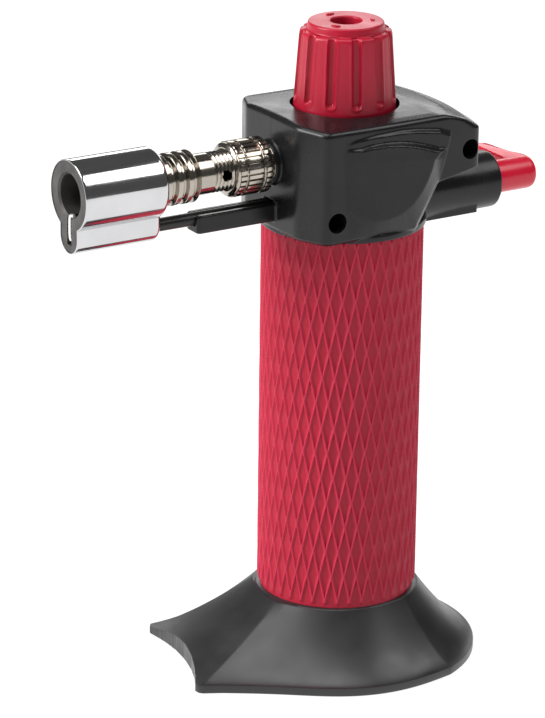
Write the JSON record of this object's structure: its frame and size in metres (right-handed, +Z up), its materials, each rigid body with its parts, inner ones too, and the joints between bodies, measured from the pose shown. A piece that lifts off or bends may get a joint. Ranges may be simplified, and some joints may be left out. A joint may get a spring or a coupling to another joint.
{
  "type": "butane torch",
  "caption": "Table-top butane micro torch: flared stand, ribbed red grip, black burner head with gas knob, air collar, chrome flame guard and push igniter.",
  "frame": {"origin": "on the floor plane under the axis of the fuel tank", "axes": "+X along the burner towards the flame, +Y towards the head's left shell, +Z up along the tank"},
  "size_m": [0.1214, 0.0648, 0.15],
  "materials": {
    "stand_plastic": "semi-matt moulded black plastic",
    "tank_metal": "drawn, satin",
    "seal_rubber": "matt",
    "grip_red": "satin, raised diamond ribs",
    "brass": "machined",
    "spring_steel": "bright wire",
    "wick_felt": "felt",
    "knob_red": "satin gloss, moulded flutes",
    "screw_steel": "blackened",
    "nickel": "nickel plated, bright",
    "chrome": "polished plate",
    "nozzle_grey": "dark grey, heat-stained",
    "lead_black": "satin insulation",
    "ceramic_white": "glazed ceramic",
    "wire_steel": "bright wire",
    "case_black": "moulded",
    "button_red": "gloss",
    "head_plastic": "black, satin gloss"
  },
  "bodies": {
    "torch": {"base_stand": "stand_plastic", "fuel_tank": "tank_metal", "tank_cap": "tank_metal", "tank_cap_seal": "seal_rubber", "grip_sleeve": "grip_red", "refill_valve_body": "brass", "refill_valve_seal": "seal_rubber", "refill_valve_spring": "spring_steel", "valve_body": "brass", "fuel_wick": "wick_felt", "gas_filter": "brass", "gland_nut": "brass", "spindle_seal": "seal_rubber", "gas_pipe": "brass", "gas_jet": "brass", "mixing_tube": "nickel", "finned_sleeve": "nickel", "flame_guard": "chrome", "burner_nozzle": "nozzle_grey", "flame_disc": "nickel", "lead_sleeve": "lead_black", "electrode_insulator": "ceramic_white", "electrode_wire": "wire_steel", "ignition_lead": "lead_black", "igniter_case": "case_black", "igniter_spring": "spring_steel", "head_shell_left": "head_plastic", "head_shell_right": "head_plastic", "housing_screws": "screw_steel"},
    "knob": {"control_knob": "knob_red", "knob_screw": "screw_steel", "valve_spindle": "brass"},
    "collar_ring": {"air_collar_ring": "nickel"},
    "air_collar": {"air_collar": "nickel"},
    "igniter_button": {"igniter_button": "button_red", "igniter_plunger": "case_black"},
    "refill_stem": {"refill_valve_stem": "brass"}
  },
  "joints": [
    {"name": "knob_turn", "type": "hinge", "parent": "torch", "child": "knob", "pos_m": [0, 0, 0.14], "axis": [0, 0, 1], "range_deg": [0, 270]},
    {"name": "collar_travel", "type": "slide", "parent": "torch", "child": "collar_ring", "axis": [1, 0, 0], "range_m": [0, 0.00082]},
    {"name": "air_collar_turn", "type": "hinge", "parent": "collar_ring", "child": "air_collar", "pos_m": [0.025, 0, 0.12006], "axis": [1, 0, 0], "range_deg": [0, 270]},
    {"name": "igniter_press", "type": "slide", "parent": "torch", "child": "igniter_button", "axis": [1, 0, 0], "range_m": [0, 0.005], "stiffness_N_per_m": 600, "springref_m": -0.003, "deforming": ["igniter_spring"]},
    {"name": "refill_stem_press", "type": "slide", "parent": "torch", "child": "refill_stem", "axis": [0, 0, 1], "range_m": [0, 0.0015], "stiffness_N_per_m": 500, "springref_m": -0.002, "deforming": ["refill_valve_spring"]}
  ],
  "couplings": [
    {"joint": "air_collar_turn", "follows": "collar_travel", "rad_per_m": 5712}
  ]
}
